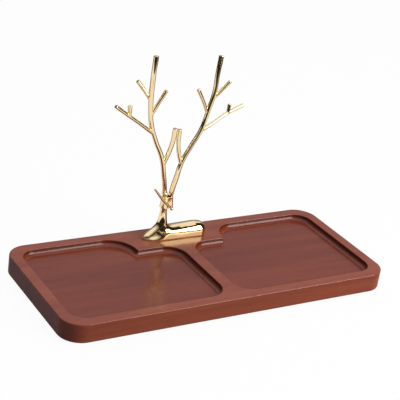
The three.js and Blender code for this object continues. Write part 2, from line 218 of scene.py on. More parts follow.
def length(name, description, millimetres):
    """A length property with its default in millimetres"""
    return bpy.props.FloatProperty(
        name=name, description=description, default=millimetres * MM, min=0.0, precision=5, unit="LENGTH"
    )


def colour(name, description, red, green, blue):
    """A linear colour property"""
    return bpy.props.FloatVectorProperty(
        name=name, description=description, default=(red, green, blue, 1.0), size=4, min=0.0, max=1.0,
        subtype="COLOR",
    )


class TrayBoardSizes(bpy.types.PropertyGroup):
    """Sizes of the board and its wells"""

    corner_radius: length("Corner Radius", "Radius of the board's corners in plan", 17)
    edge_round: length("Edge Round", "Rounding of the board's outer edges", 0.9)
    rim_width: length("Rim Width", "Width of the rim outside the wells", 8.8)
    divider_width: length("Divider Width", "Width of the bar between the wells", 10)
    well_depth: length("Well Depth", "Depth of the wells", 4.8)
    well_cove: length("Well Cove", "Radius of the cove between a well's wall and floor", 3.4)
    well_edge_round: length("Well Edge Round", "Rounding of the edge round each well", 0.6)
    outer_radius: length("Outer Radius", "Corner radius of a well at the board's end", 13)
    inner_radius: length("Inner Radius", "Corner radius of a well at the divider", 15)
    land_length: length("Land Length", "Length of the uncut land that carries the stand", 79)
    land_offset: length("Land Offset", "How far the land's middle lies left of the divider's", 1.5)
    land_depth: length("Land Depth", "Depth of the land from the board's back", 31.4)
    shoulder_radius: length("Shoulder Radius", "Radius where a well's back wall turns to the land", 21.1)
    land_corner: length("Land Corner", "Radius of the land's front corners", 1)


class TrayBindingSizes(bpy.types.PropertyGroup):
    """Sizes of the band and the twig that tie the branches"""

    low_radius: length("Low Radius", "Radius of the band's wide end at its bottom", 3.95)
    high_radius: length("High Radius", "Radius of the band's wide end at its top", 2.9)
    root_offset: length("Root Offset", "Distance of the right branch's root from the trunk", 4.4)
    root_low_radius: length("Root Low Radius", "Radius of the band's narrow end at its bottom", 3)
    root_high_radius: length("Root High Radius", "Radius of the band's narrow end at its top", 2.15)
    trunk_bore: length("Trunk Bore", "Radius of the bore for the trunk", 2.6)
    root_bore: length("Root Bore", "Radius of the bore for the right branch's root", 1.9)
    lip: length("Lip", "Rounding of the band's rims", 0.25)
    knob_radius: length("Knob Radius", "Radius of the knob on the twig's low end", 1.5)


class TrayFittingSizes(bpy.types.PropertyGroup):
    """Sizes of the pads and fasteners, and of the cuts that take them"""

    clearance: length("Clearance", "Gap round a pad, washer or screw", 0.3)
    pad_round: length("Pad Round", "Rounding of a foot pad's lower edge", 0.6)
    washer_bore: length("Washer Bore", "Radius of a washer's hole", 2.3)
    washer_round: length("Washer Round", "Rounding of a washer's edges", 0.12)
    head_height: length("Head Height", "Height of a screw's head", 2.8)
    head_round: length("Head Round", "Rounding of a screw's head", 1.5)
    shank_radius: length("Shank Radius", "Radius of a screw's shank", 2)
    tip_taper: length("Tip Taper", "Taper at a screw's tip", 0.8)
    cross_length: length("Cross Length", "Length of a head's cross recess", 4.2)
    cross_width: length("Cross Width", "Width of a head's cross recess", 1.1)
    cross_depth: length("Cross Depth", "Depth of a head's cross recess", 1.5)


class TrayFinishes(bpy.types.PropertyGroup):
    """Colours of the finishes"""

    wood_light: colour("Wood Light", "Pale streaks of the stained wood", 0.354, 0.085, 0.039)
    wood_dark: colour("Wood Dark", "Dark streaks of the stained wood", 0.262, 0.055, 0.026)
    wood_well: colour("Wood Well", "Share of the colour left deep in the wells", 0.74, 0.60, 0.52)
    # Painted shade: darkens the wells' walls just under the rim edge, where shade falls
    wall_painted_shade: colour("Wall Painted Shade", "Share of the colour left on the wells' walls", 0.45, 0.36, 0.32)
    # Painted light and shade: the back of the board cooler and darker than its front, as the light falls
    back_painted_shade: colour("Back Painted Shade", "Share of the colour left at the board's back", 0.93, 0.96, 1.0)
    wood_side: colour("Wood Side", "Share of the colour left on the board's outer sides", 0.90, 0.90, 0.92)
    wood_pore: colour("Wood Pore", "Pores of the stained wood", 0.060, 0.016, 0.010)
    gold: colour("Gold", "Polished gilt castings", 0.955, 0.742, 0.378)
    steel: colour("Steel", "Zinc plated screws and washers", 0.560, 0.565, 0.550)
    rubber: colour("Rubber", "Foot pads", 0.022, 0.021, 0.020)


class TrayStage(bpy.types.PropertyGroup):
    """Camera and light"""

    azimuth: bpy.props.FloatProperty(
        name="Azimuth", description="Camera's turn round the tray", default=math.radians(-33.76282),
        subtype="ANGLE",
    )
    elevation: bpy.props.FloatProperty(
        name="Elevation", description="Camera's height angle", default=math.radians(24.62689),
        subtype="ANGLE",
    )
    roll: bpy.props.FloatProperty(
        name="Roll", description="Camera's roll", default=math.radians(8.58572), subtype="ANGLE"
    )
    distance: length("Distance", "Camera's distance from its aim", 1055.508)
    aim: bpy.props.FloatVectorProperty(
        name="Aim", description="Point on the table that the camera looks at", size=3,
        default=(74.337 * MM, 125.525 * MM, 0.0), subtype="TRANSLATION", unit="LENGTH",
    )
    lens: bpy.props.FloatProperty(
        name="Lens", description="Focal length in millimetres", default=106.5245, min=1.0
    )
    softbox_power: bpy.props.FloatProperty(
        name="Softbox Power", description="Power of the front softbox", default=20.0, min=0.0, unit="POWER"
    )
    ambient: bpy.props.FloatProperty(
        name="Ambient", description="Level of the light from all round", default=1.2, min=0.0
    )


# Modelling helpers


def only(piece):
    """Select and activate one object alone"""
    if bpy.context.mode != "OBJECT":
        bpy.ops.object.mode_set(mode="OBJECT")
    bpy.ops.object.select_all(action="DESELECT")
    piece.select_set(True)
    bpy.context.view_layer.objects.active = piece


def named(piece, name):
    """Name an object and its data"""
    piece.name = name
    piece.data.name = name
    return piece


def fresh(name, add, **settings):
    """Add a primitive with nothing else selected"""
    bpy.ops.object.select_all(action="DESELECT")
    add(**settings)
    return named(bpy.context.object, name)


def pick(piece, kind, test):
    """Select the vertices, edges or faces that pass a test, in edit mode"""
    bpy.ops.mesh.select_mode(type={"verts": "VERT", "edges": "EDGE", "faces": "FACE"}[kind])
    bpy.ops.mesh.select_all(action="DESELECT")
    mesh = bmesh.from_edit_mesh(piece.data)
    found = [item for item in getattr(mesh, kind) if test(item)]
    if not found:
        raise RuntimeError(f"{piece.name}: no {kind} to shape")
    for item in found:
        item.select_set(True)
    bmesh.update_edit_mesh(piece.data)


def finish_modifier(piece, kind, **settings):
    """Add a modifier, set it and apply it"""
    only(piece)
    modifier = piece.modifiers.new(kind.lower(), kind)
    for name, value in settings.items():
        setattr(modifier, name, value)
    bpy.ops.object.modifier_apply(modifier=modifier.name)


def carve(piece, cutter):
    """Cut one mesh out of another and drop the cutter"""
    finish_modifier(piece, "BOOLEAN", operation="DIFFERENCE", solver="EXACT", object=cutter)
    bpy.data.objects.remove(cutter)


def joined(name, pieces):
    """Join meshes into one object"""
    only(pieces[0])
    for piece in pieces:
        piece.select_set(True)
    bpy.ops.object.join()
    return named(bpy.context.object, name)


def smooth_faces(piece, degrees, weighted):
    """Smooth shading that keeps hard edges, and flat faces flat"""
    only(piece)
    bpy.ops.object.shade_smooth_by_angle(angle=math.radians(degrees))
    if weighted:
        finish_modifier(piece, "WEIGHTED_NORMAL", mode="FACE_AREA", keep_sharp=True)


def place(piece, slot, *nodes):
    """Give a finished piece its finish, its body and the CAD nodes that it stands for"""
    only(piece)
    bpy.ops.object.transform_apply(location=True, rotation=True, scale=True)
    piece.data.materials.clear()
    piece.data.materials.append(finish_for(slot))
    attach(piece, BODY)
    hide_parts(*nodes)


def limb(stations, origin, swell=0.0):
    """A round tapering limb through its stations, closed at both ends"""
    path = fresh("limb", bpy.ops.curve.primitive_bezier_curve_add)
    curve = path.data
    curve.dimensions = "3D"
    curve.resolution_u = 10
    curve.bevel_depth = MM
    curve.bevel_resolution = 6
    curve.use_fill_caps = True
    spline = curve.splines[0]
    spline.radius_interpolation = "CARDINAL"
    spline.bezier_points.add(len(stations) - 2)
    for point, (x, y, z, radius) in zip(spline.bezier_points, stations):
        point.co = origin + Vector((x, y, z)) * MM
        point.radius = radius + swell
        point.handle_left_type = "AUTO"
        point.handle_right_type = "AUTO"
    bpy.ops.object.convert(target="MESH")
    return bpy.context.object


def cast(name, limbs, grain, passes):
    """Fuse limbs into one casting with soft fillets where they meet"""
    piece = joined(name, limbs)
    finish_modifier(piece, "REMESH", mode="VOXEL", voxel_size=grain * MM)
    finish_modifier(piece, "SMOOTH", factor=0.5, iterations=passes)
    only(piece)
    bpy.ops.object.shade_smooth()
    return piece


# Node helpers


def feed(tree, node, inputs):
    """Link a node's inputs, or set their values"""
    for name, value in inputs.items():
        if isinstance(value, bpy.types.NodeSocket):
            tree.links.new(value, node.inputs[name])
        else:
            node.inputs[name].default_value = value


def add_node(tree, kind, inputs=None, **settings):
    """Add a node, set its properties, and feed its inputs"""
    made = tree.nodes.new(kind)
    for name, value in settings.items():
        setattr(made, name, value)
    feed(tree, made, inputs or {})
    return made


def node_group(name, sockets_in, sockets_out):
    """A shader node group with its own sockets"""
    group = bpy.data.node_groups.new(name, "ShaderNodeTree")
    for label, kind in sockets_in:
        group.interface.new_socket(label, in_out="INPUT", socket_type=kind)
    for label, kind in sockets_out:
        group.interface.new_socket(label, in_out="OUTPUT", socket_type=kind)
    return group, group.nodes.new("NodeGroupInput"), group.nodes.new("NodeGroupOutput")


def mottle_group():
    """Cloudy variation with a fine grain over it, for finishes that aren't quite even"""
    if "Finish Mottle" in bpy.data.node_groups:
        return bpy.data.node_groups["Finish Mottle"]
    group, entry, leave = node_group(
        "Finish Mottle",
        (
            ("Vector", "NodeSocketVector"), ("Cloud Scale", "NodeSocketFloat"),
            ("Grain Scale", "NodeSocketFloat"),
        ),
        (("Cloud", "NodeSocketFloat"), ("Grain", "NodeSocketFloat")),
    )
    for label, scale, detail in (("Cloud", "Cloud Scale", 3.0), ("Grain", "Grain Scale", 2.0)):
        noise = add_node(
            group, "ShaderNodeTexNoise",
            {"Vector": entry.outputs["Vector"], "Scale": entry.outputs[scale], "Detail": detail},
        )
        group.links.new(noise.outputs["Fac"], leave.inputs[label])
    return group


def new_material(name):
    """A material with one Principled shader, and the Object coordinates"""
    material = bpy.data.materials.new(name)
    material.use_nodes = True
    tree = material.node_tree
    shader = tree.nodes["Principled BSDF"]
    spot = add_node(tree, "ShaderNodeTexCoord").outputs["Object"]
    return material, tree, shader, spot


def mottled(tree, spot, cloud_scale, grain_scale):
    """The mottle's cloud and grain at the given scales"""
    mottle = add_node(
        tree, "ShaderNodeGroup", {"Vector": spot, "Cloud Scale": cloud_scale, "Grain Scale": grain_scale},
        node_tree=mottle_group(),
    )
    return mottle.outputs["Cloud"], mottle.outputs["Grain"]


def shaded_colour(colour_value, share):
    """A colour times a share"""
    return tuple(share * part for part in colour_value[:3]) + (1.0,)


def grey(level):
    """A grey of one level"""
    return (level, level, level, 1.0)


def streaks(tree, spot, scale, detail):
    """Noise drawn out along the board"""
    stretch = add_node(tree, "ShaderNodeMapping", {"Vector": spot, "Scale": scale})
    return add_node(
        tree, "ShaderNodeTexNoise",
        {"Vector": stretch.outputs["Vector"], "Scale": 1.0, "Detail": detail, "Roughness": 0.6},
    ).outputs["Fac"]


def ranged(tree, value, low, high, to_low, to_high):
    """A value mapped from one range to another"""
    return add_node(
        tree, "ShaderNodeMapRange",
        {"Value": value, "From Min": low, "From Max": high, "To Min": to_low, "To Max": to_high},
    ).outputs["Result"]


def blended(tree, factor, first, second, blend="MIX"):
    """Two colours mixed by a factor"""
    inputs = {0: factor, 6: first, 7: second}
    return add_node(tree, "ShaderNodeMix", inputs, data_type="RGBA", blend_type=blend).outputs[2]


def math_node(tree, operation, first, second):
    """One operation on two values"""
    return add_node(tree, "ShaderNodeMath", {0: first, 1: second}, operation=operation).outputs[0]


def vector_node(tree, operation, inputs, output):
    """One operation on vectors"""
    return add_node(tree, "ShaderNodeVectorMath", inputs, operation=operation).outputs[output]


def under_top(tree, height, depths, to_low, to_high):
    """A value that changes between two depths under the board's top"""
    low, high = (BOARD_HIGH.z - depth * MM for depth in depths)
    return ranged(tree, height, low, high, to_low, to_high)


def inside_rim(tree, spot):
    """One within the middle line of the board's rim, in plan"""
    sizes = bpy.context.scene.tray_board_sizes
    core = (BOARD_HIGH.x - sizes.corner_radius, BOARD_HIGH.y - sizes.corner_radius, 1.0)
    across = vector_node(tree, "ABSOLUTE", {0: spot}, "Vector")
    past = vector_node(tree, "SUBTRACT", {0: across, 1: core}, "Vector")
    corner = vector_node(tree, "MAXIMUM", {0: past, 1: (0, 0, 0)}, "Vector")
    reach = vector_node(tree, "LENGTH", {0: corner}, "Value")
    return math_node(tree, "LESS_THAN", reach, sizes.corner_radius - sizes.rim_width / 2)


def stained_wood(finishes):
    """Reddish stain over straight grain, deeper in the wells, under a satin lacquer, with painted shade on
    the wells' walls and painted light that leaves the board's back cooler and darker than its front
    """
    material, tree, shader, spot = new_material("satin_stained_wood")
    bands = streaks(tree, spot, *BANDS)
    fibres = streaks(tree, spot, *FIBRES)
    pores = ranged(tree, streaks(tree, spot, *PORES), *PORE_SPAN, 0.0, 1.0)
    broad = math_node(tree, "MULTIPLY", bands, BAND_TONE)
    fine = math_node(tree, "MULTIPLY", fibres, FIBRE_TONE)
    tone = ranged(tree, math_node(tree, "ADD", broad, fine), *TONE_SPAN, 0.0, 1.0)
    wood = blended(tree, tone, tuple(finishes.wood_dark), tuple(finishes.wood_light))
    pored = blended(tree, math_node(tree, "MULTIPLY", pores, PORE_TONE), wood, tuple(finishes.wood_pore))
    place_at = add_node(tree, "ShaderNodeSeparateXYZ", {"Vector": spot})
    height = place_at.outputs["Z"]
    inside = inside_rim(tree, spot)
    sunk = math_node(tree, "MULTIPLY", under_top(tree, height, STAIN_DEPTHS, 1.0, 0.0), inside)
    stained = blended(tree, sunk, pored, tuple(finishes.wood_well), "MULTIPLY")
    # Painted shade on the wells' walls, from just under the rim edge down to the cove
    under_edge = under_top(tree, height, WALL_TOP, 1.0, 0.0)
    over_cove = under_top(tree, height, WALL_FOOT, 0.0, 1.0)
    wall = math_node(tree, "MULTIPLY", math_node(tree, "MULTIPLY", under_edge, over_cove), inside)
    wall_shaded = blended(tree, wall, stained, tuple(finishes.wall_painted_shade), "MULTIPLY")
    # Painted light and shade: the colour cools and darkens towards the board's back, so the front looks more
    # lit
    rearward = ranged(tree, place_at.outputs["Y"], BOARD_LOW.y, 0.0, 0.0, 1.0)
    back_shaded = blended(tree, rearward, wall_shaded, tuple(finishes.back_painted_shade), "MULTIPLY")
    side = under_top(tree, height, SIDE_TOP, 1.0, 0.0)
    outer = math_node(tree, "MULTIPLY", side, math_node(tree, "SUBTRACT", 1.0, inside))
    sided = blended(tree, outer, back_shaded, tuple(finishes.wood_side), "MULTIPLY")
    raised = math_node(tree, "MULTIPLY", fibres, FIBRE_RELIEF)
    relief = math_node(tree, "SUBTRACT", raised, math_node(tree, "MULTIPLY", pores, PORE_RELIEF))
    bump = add_node(tree, "ShaderNodeBump", {"Height": relief, "Strength": 0.06, "Distance": 0.2 * MM})
    feed(tree, shader, {
        "Base Color": sided,
        "Roughness": ranged(tree, fibres, *NOISE_SPAN, 0.36, 0.5),
        "Normal": bump.outputs["Normal"],
        "Specular IOR Level": 0.0,
        "Coat Weight": ranged(tree, outer, 0.0, 1.0, *LACQUER),
        "Coat Roughness": 0.2,
        "Coat IOR": 1.5,
    })
    return material


def plated(name, plate, dulled, scales, roughness):
    """A metal finish with cloudy colour and a finely uneven polish"""
    material, tree, shader, spot = new_material(name)
    cloud, grain = mottled(tree, spot, *scales)
    tint = blended(tree, cloud, tuple(plate), shaded_colour(plate, dulled))
    polish = ranged(tree, grain, *NOISE_SPAN, *roughness)
    feed(tree, shader, {"Base Color": tint, "Roughness": polish, "Metallic": 1.0})
    return material


def gilt_casting(finishes):
    """Polished gold plate with the faint unevenness of a casting"""
    return plated("polished_gilt", finishes.gold, dulled=0.94, scales=(90.0, 900.0), roughness=(0.05, 0.1))


def zinc_steel(finishes):
    """Zinc plated steel"""
    return plated(
        "zinc_plated_steel", finishes.steel, dulled=0.8, scales=(300.0, 2500.0), roughness=(0.28, 0.42)
    )


def rubber_pad(finishes):
    """Dark moulded rubber with a fine matt grain"""
    material, tree, shader, spot = new_material("moulded_rubber")
    cloud, grain = mottled(tree, spot, 200.0, 5000.0)
    tint = blended(tree, cloud, tuple(finishes.rubber), shaded_colour(finishes.rubber, 1.6))
    matt = ranged(tree, cloud, *NOISE_SPAN, 0.75, 0.9)
    bump = add_node(tree, "ShaderNodeBump", {"Height": grain, "Strength": 0.3, "Distance": 0.1 * MM})
    feed(tree, shader, {"Base Color": tint, "Roughness": matt, "Normal": bump.outputs["Normal"]})
    return material


def finish_for(slot):
    """The finish of one of the record's slots, made when it is first asked for"""
    name, maker = {
        "stained_wood": ("satin_stained_wood", stained_wood),
        "gilt_casting": ("polished_gilt", gilt_casting),
        "zinc_steel": ("zinc_plated_steel", zinc_steel),
        "rubber_pad": ("moulded_rubber", rubber_pad),
    }[slot]
    return bpy.data.materials.get(name) or maker(bpy.context.scene.tray_finishes)


# Board


def near(value, target):
    """Within a hundredth of a millimetre"""
    return abs(value - target) < 0.01 * MM


def round_corner(piece, x, y, radius, segments):
    """Round one corner of a flat outline"""
    pick(piece, "verts", lambda vert: near(vert.co.x, x) and near(vert.co.y, y))
    bpy.ops.mesh.bevel(
        offset=radius, segments=segments, profile=0.5, affect="VERTICES", clamp_overlap=False
    )


def round_edges(width, segments):
    """Round the selected edges"""
    bpy.ops.mesh.bevel(offset=width, segments=segments, profile=0.5, affect="EDGES", clamp_overlap=False)


def raise_outline(height):
    """Make a flat outline a closed block"""
    bpy.ops.mesh.select_mode(type="FACE")
    bpy.ops.mesh.select_all(action="SELECT")
    bpy.ops.mesh.extrude_region_move(TRANSFORM_OT_translate={"value": (0, 0, height)})
    bpy.ops.mesh.select_all(action="SELECT")
    bpy.ops.mesh.normals_make_consistent(inside=False)


def rectangle(name, low, high, level):
    """A flat rectangle between two corners"""
    centre = ((low[0] + high[0]) / 2, (low[1] + high[1]) / 2, level)
    piece = fresh(name, bpy.ops.mesh.primitive_plane_add, size=1, location=centre)
    piece.scale = (high[0] - low[0], high[1] - low[1], 1)
    bpy.ops.object.transform_apply(location=True, rotation=True, scale=True)
    return piece


def slab(sizes):
    """The uncut board with its rounded corners and edges"""
    low, high = BOARD_LOW, BOARD_HIGH
    piece = rectangle("tray_board_wood", low, high, low.z)
    bpy.ops.object.mode_set(mode="EDIT")
    for x in (low.x, high.x):
        for y in (low.y, high.y):
            round_corner(piece, x, y, sizes.corner_radius, segments=20)
    raise_outline(high.z - low.z)
    pick(piece, "edges", lambda edge: near(edge.verts[0].co.z, edge.verts[1].co.z))
    round_edges(sizes.edge_round, segments=5)
    bpy.ops.object.mode_set(mode="OBJECT")
    return piece


def well_cutter(sizes, side):
    """The block that one well takes out of the board"""
    inner = sizes.divider_width / 2
    outer = BOARD_HIGH.x - sizes.rim_width
    front = BOARD_LOW.y + sizes.rim_width
    back = BOARD_HIGH.y - sizes.rim_width
    land_side = sizes.land_length / 2 - side * sizes.land_offset
    land_front = BOARD_HIGH.y - sizes.land_depth
    ends = sorted((side * inner, side * outer))
    floor = BOARD_HIGH.z - sizes.well_depth
    piece = rectangle("well_cutter", (ends[0], front), (ends[1], land_front), floor)
    bpy.ops.object.mode_set(mode="EDIT")
    bpy.ops.mesh.select_all(action="SELECT")
    bpy.ops.mesh.bisect(plane_co=(side * land_side, 0, 0), plane_no=(1, 0, 0))
    pick(
        piece, "edges",
        lambda edge: all(near(v.co.y, land_front) and side * v.co.x > land_side - MM for v in edge.verts),
    )
    bpy.ops.mesh.extrude_region_move(TRANSFORM_OT_translate={"value": (0, back - land_front, 0)})
    bpy.ops.mesh.select_mode(type="FACE")
    bpy.ops.mesh.select_all(action="SELECT")
    bpy.ops.mesh.dissolve_limited(angle_limit=math.radians(1))
    for x, y, radius, segments in (
        (outer, front, sizes.outer_radius, 16),
        (outer, back, sizes.outer_radius, 16),
        (land_side, back, sizes.shoulder_radius, 20),
        (land_side, land_front, sizes.land_corner, 8),
        (inner, land_front, sizes.inner_radius, 16),
        (inner, front, sizes.inner_radius, 16),
    ):
        round_corner(piece, side * x, y, radius, segments)
    raise_outline(2 * sizes.well_depth)
    pick(piece, "edges", lambda edge: all(near(vert.co.z, floor) for vert in edge.verts))
    round_edges(sizes.well_cove, segments=12)
    bpy.ops.object.mode_set(mode="OBJECT")
    return piece


def on_rim(edge):
    """Whether an edge is where a well's wall meets the board's top"""
    if len(edge.link_faces) != 2 or not all(near(vert.co.z, BOARD_HIGH.z) for vert in edge.verts):
        return False
    tilts = sorted(face.normal.z for face in edge.link_faces)
    return tilts[0] < 0.5 and tilts[1] > 0.99


def underside_cuts(sizes):
    """Round cutters for the foot recesses, the counterbores and the screw holes"""
    for corner in CORNERS:
        low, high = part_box(f"foot_{corner}")
        middle = (low + high) / 2
        radius = (high.x - low.x) / 2 + sizes.clearance
        yield cone("recess", radius, radius, low.z - MM, high.z, middle.x, middle.y, ROUND_SIDES)
    for side in ("left", "right"):
        low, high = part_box(f"base_washer_{side}")
        middle = (low + high) / 2
        radius = (high.x - low.x) / 2 + sizes.clearance
        shank = sizes.shank_radius + sizes.clearance
        yield cone("counterbore", radius, radius, -MM, high.z, middle.x, middle.y, ROUND_SIDES)
        yield cone("hole", shank, shank, high.z - MM, BOARD_HIGH.z + MM, middle.x, middle.y, BORE_SIDES)


class TRAY_OT_board(bpy.types.Operator):
    """Carve the board with its wells, foot recesses and screw holes"""

    bl_idname = "tray.board"
    bl_label = "Board"

    def execute(self, context):
        sizes = context.scene.tray_board_sizes
        board = slab(sizes)
        for side in (1, -1):
            carve(board, well_cutter(sizes, side))
        for cutter in underside_cuts(context.scene.tray_fitting_sizes):
            carve(board, cutter)
        only(board)
        bpy.ops.object.mode_set(mode="EDIT")
        pick(board, "edges", on_rim)
        round_edges(sizes.well_edge_round, segments=4)
        bpy.ops.object.mode_set(mode="OBJECT")
        smooth_faces(board, degrees=35, weighted=True)
        place(board, "stained_wood", "tray_board")
        return {"FINISHED"}


# Castings


def eased(places, stations, column, span=EASE_SPAN):
    """One column of a run of stations at the given places, without kinks"""
    marks = [station[0] for station in stations]
    grid = np.arange(marks[0] - span, marks[-1] + span, EASE_STEP)
    window = np.hanning(int(span / EASE_STEP) | 1)
    values = np.interp(grid, marks, [station[column] for station in stations])
    values = np.pad(values, len(window) // 2, mode="edge")
    return np.interp(places, grid, np.convolve(values, window / window.sum(), mode="valid"))


def filleted(first, second, fillet):
    """Signed distance to two forms melted together"""
    share = np.maximum(fillet - np.abs(first - second), 0) / fillet
    return np.minimum(first, second) - share ** 3 * fillet / 6


def base_form(spots):
    """Signed distance from the base's finished skin, in millimetres from the trunk's foot"""
    x, y, z = spots.T
    flare = np.hypot(x - eased(z, FLARE, 1), y - eased(z, FLARE, 2)) - eased(z, FLARE, 3)
    radius = eased(x, LOG_FORM, 3)
    across = np.abs(y - eased(x, LOG_FORM, 1))
    over = np.maximum(z - eased(x, LOG_FORM, 2) + radius, 0)
    beyond = x - np.clip(x, *LOG_ENDS)
    crown = np.sqrt(across ** 2 + over ** 2 + beyond ** 2) - radius + LOG_SHOULDER
    flank = np.hypot(across, beyond) - eased(x, LOG_FORM, 4) + LOG_SHOULDER
    outside = np.hypot(np.maximum(crown, 0), np.maximum(flank, 0))
    log = outside + np.minimum(np.maximum(crown, flank), 0) - LOG_SHOULDER
    root = np.full(len(x), FAR_AWAY)
    for centre in np.linspace(ROOT_FORM[0][0], ROOT_FORM[-1][0], ROOT_STEPS):
        level = eased(centre, ROOT_FORM, 1, ROOT_EASE_SPAN)
        spread = ROOT_SPREAD * np.clip(level - z, 0, ROOT_SPREAD_DEPTH)
        reach = eased(centre, ROOT_FORM, 2, ROOT_EASE_SPAN) + spread
        away = np.sqrt((x - centre) ** 2 + y ** 2 + np.maximum(z - level, 0) ** 2)
        root = np.minimum(root, away - reach)
    tuck = FOOT_TUCK * np.clip(1 - z / FOOT_TUCK_HEIGHT, 0, 1) ** 2
    return filleted(filleted(flare, root, ROOT_FILLET), log, eased(z, LOG_FILLET, 1)) + tuck


def settle(piece, form, rounds):
    """Press a casting's skin onto a form, from just under the board's top up to the neck"""
    spots = np.empty(3 * len(piece.data.vertices))
    piece.data.vertices.foreach_get("co", spots)
    spots = (spots.reshape(-1, 3) - np.array(TRUNK_FOOT)) / MM
    for _ in range(rounds):
        held = np.interp(spots[:, 2], PRESS_HEIGHTS, PRESS_SHARES)
        rises = [(form(spots + side) - form(spots - side)) / (2 * PROBE) for side in PROBE * np.eye(3)]
        slope = np.stack(rises, axis=1)
        push = np.clip(form(spots) * held, -LONGEST_STEP, LONGEST_STEP)
        step = push / np.maximum((slope ** 2).sum(axis=1), LEAST_SLOPE)
        spots -= slope * step[:, None]
    piece.data.vertices.foreach_set("co", (spots * MM + np.array(TRUNK_FOOT)).ravel())
    piece.data.update()


class TRAY_OT_base(bpy.types.Operator):
    """Cast the log, root and trunk that carry the branches"""

    bl_idname = "tray.stand_base"
    bl_label = "Stand Base"

    def execute(self, context):
        routes = [TRUNK, ROOT]
        for drop in LOG_LAYERS:
            routes.append(tuple((x, y, z + drop * radius, radius) for x, y, z, radius in LOG))
        limbs = [limb(stations, TRUNK_FOOT) for stations in routes]
        base = cast("stand_base_casting", limbs, *BASE_CAST)
        settle(base, base_form, PRESS_ROUNDS[0])
        finish_modifier(base, "SMOOTH", factor=0.5, iterations=PRESS_SMOOTHING)
        settle(base, base_form, PRESS_ROUNDS[1])
        bpy.ops.object.mode_set(mode="EDIT")
        bpy.ops.mesh.select_all(action="SELECT")
        bpy.ops.mesh.bisect(
            plane_co=TRUNK_FOOT, plane_no=(0, 0, 1), use_fill=True, clear_inner=True, threshold=CUT_REACH * MM
        )
        bpy.ops.object.mode_set(mode="OBJECT")
        smooth_faces(base, degrees=60, weighted=False)
        place(base, "gilt_casting", "stand_base")
        return {"FINISHED"}


class TRAY_OT_branches(bpy.types.Operator):
    """Cast the two branches with their twigs"""

    bl_idname = "tray.branches"
    bl_label = "Branches"

    def execute(self, context):
        spot, radius, thickness, lean = ROOT_FLANGE
        flange = fresh(
            "flange", bpy.ops.mesh.primitive_torus_add, major_segments=48, minor_segments=16,
            major_radius=radius * MM, minor_radius=thickness * MM, location=BAND_TOP + Vector(spot) * MM,
            rotation=(0, math.radians(lean), 0),
        )
        bpy.ops.object.transform_apply(location=True, rotation=True, scale=True)
        branches = (("left_branch", LEFT_LIMBS, [flange]), ("right_branch", RIGHT_LIMBS, []))
        for node, limbs, extra in branches:
            solids = [limb(stations, BAND_TOP, BRANCH_SWELL) for stations in limbs]
            piece = cast(f"{node}_casting", solids + extra, *BRANCH_CAST)
            place(piece, "gilt_casting", node)
        return {"FINISHED"}


def cone(name, low_radius, high_radius, low, high, x, y, sides):
    """A round block between two levels, straight or tapered"""
    return fresh(
        name, bpy.ops.mesh.primitive_cone_add, vertices=sides, radius1=low_radius, radius2=high_radius,
        depth=high - low, location=(x, y, (low + high) / 2),
    )


def round_rims(piece, levels, width, segments):
    """Round the edges that lie at the given levels"""
    only(piece)
    bpy.ops.object.transform_apply(location=True, rotation=True, scale=True)
    bpy.ops.object.mode_set(mode="EDIT")
    pick(
        piece, "edges",
        lambda edge: any(all(near(vert.co.z, level) for vert in edge.verts) for level in levels)
        and abs(edge.link_faces[0].normal.z - edge.link_faces[-1].normal.z) > 0.3,
    )
    round_edges(width, segments)
    bpy.ops.object.mode_set(mode="OBJECT")


class TRAY_OT_binding(bpy.types.Operator):
    """Make the pear-shaped band and the twig across its front"""

    bl_idname = "tray.binding"
    bl_label = "Binding"

    def execute(self, context):
        sizes = context.scene.tray_binding_sizes
        low, high = BAND_LOW.z, BAND_HIGH.z
        x, y = BAND_TOP.x, BAND_TOP.y
        root = x + sizes.root_offset
        band = joined("binding_band_collar", [
            cone("wide", sizes.low_radius, sizes.high_radius, low, high, x, y, BAND_SIDES),
            cone("narrow", sizes.root_low_radius, sizes.root_high_radius, low, high, root, y, BAND_SIDES),
        ])
        bpy.ops.object.mode_set(mode="EDIT")
        bpy.ops.mesh.select_all(action="SELECT")
        bpy.ops.mesh.convex_hull()
        bpy.ops.mesh.dissolve_limited(angle_limit=math.radians(0.5))
        bpy.ops.object.mode_set(mode="OBJECT")
        for bore, middle in ((sizes.trunk_bore, x), (sizes.root_bore, root)):
            carve(band, cone("bore", bore, bore, low - MM, high + MM, middle, y, BORE_SIDES))
        round_rims(band, (low, high), sizes.lip, segments=4)
        smooth_faces(band, degrees=40, weighted=True)
        place(band, "gilt_casting", "binding_band")
        end = BAND_TOP + Vector(BINDING_TWIG[-1][:3]) * MM
        knob = fresh(
            "knob", bpy.ops.mesh.primitive_uv_sphere_add, segments=32, ring_count=20,
            radius=sizes.knob_radius, location=end,
        )
        bpy.ops.object.transform_apply(location=True, rotation=True, scale=True)
        twig = cast("binding_twig_casting", [limb(BINDING_TWIG, BAND_TOP), knob], *TWIG_CAST)
        place(twig, "gilt_casting", "binding_twig")
        return {"FINISHED"}


class TRAY_OT_feet(bpy.types.Operator):
    """Mould the four foot pads"""

    bl_idname = "tray.feet"
    bl_label = "Feet"

    def execute(self, context):
        for corner in CORNERS:
            node = f"foot_{corner}"
            low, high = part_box(node)
            middle = (low + high) / 2
            radius = (high.x - low.x) / 2
            pad = cone(f"{node}_pad", radius, radius, low.z, high.z, middle.x, middle.y, ROUND_SIDES)
            round_rims(pad, (low.z,), context.scene.tray_fitting_sizes.pad_round, segments=5)
            smooth_faces(pad, degrees=40, weighted=True)
            place(pad, "rubber_pad", node)
        return {"FINISHED"}


